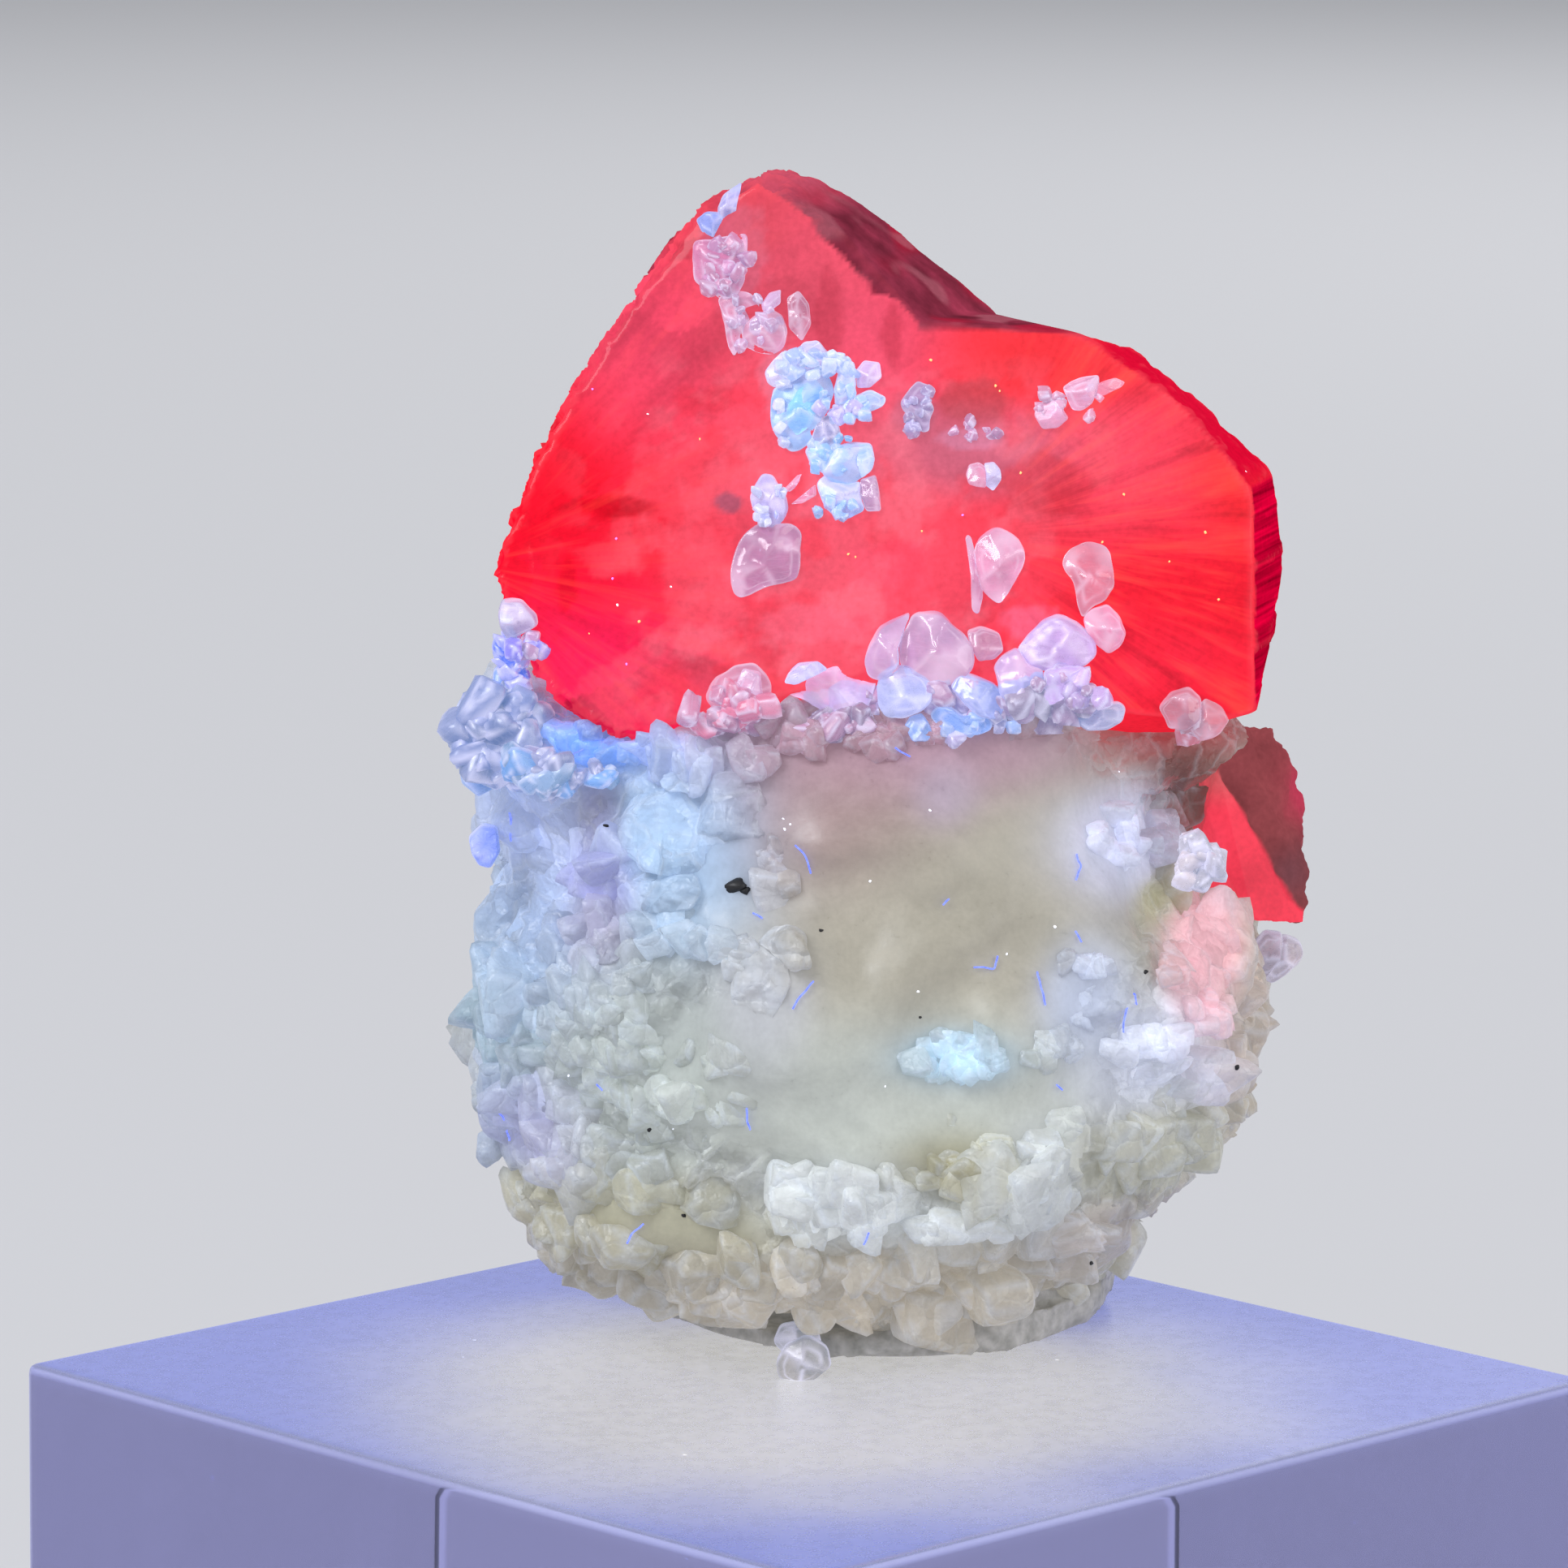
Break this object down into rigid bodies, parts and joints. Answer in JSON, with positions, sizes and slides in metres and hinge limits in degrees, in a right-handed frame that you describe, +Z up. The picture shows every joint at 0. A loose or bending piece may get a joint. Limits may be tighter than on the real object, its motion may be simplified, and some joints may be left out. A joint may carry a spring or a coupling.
{
  "type": "spinel specimen on display block",
  "caption": "Red spinel crystal grown on a rounded lump of white calcite marble, with clear calcite grains on its face, held with putty on a clear acrylic cube.",
  "frame": {"origin": "centre of the display cube's underside", "axes": "+Z up; the specimen's good side faces -Y; the cube stands cornerwise, with its diagonals along X and Y"},
  "size_m": [0.0446, 0.0446, 0.0657],
  "materials": {
    "acrylic": "clear cast acrylic, polished, fine scratches and dust",
    "putty": "soft grey mineral putty, slightly grainy",
    "marble": "coarse white calcite marble, waxy in the middle, granular round it",
    "spinel": "natural crystal faces, glowing red, glossy where unbroken",
    "clear_calcite": "clear to milky calcite grains with pale edges"
  },
  "bodies": {
    "root": {"display_block": "acrylic", "mounting_putty": "putty", "calcite_matrix": "marble", "spinel_crystal_main": "spinel", "spinel_crystal_side": "spinel", "calcite_rim_row": "clear_calcite", "calcite_rim_left": "clear_calcite", "calcite_rim_right": "clear_calcite", "calcite_rim_oval": "clear_calcite", "calcite_blue_cluster": "clear_calcite", "calcite_bead": "clear_calcite", "calcite_clear_rhomb": "clear_calcite", "calcite_drop": "clear_calcite", "calcite_drop_right": "clear_calcite", "calcite_top_patch": "clear_calcite", "calcite_seam": "clear_calcite", "calcite_spot_left": "clear_calcite", "calcite_spot_right": "clear_calcite", "calcite_edge_knob": "clear_calcite", "calcite_shoulder": "clear_calcite", "calcite_chip_right": "clear_calcite", "calcite_knob_right": "clear_calcite", "calcite_foot_grain": "clear_calcite"}
  },
  "joints": []
}
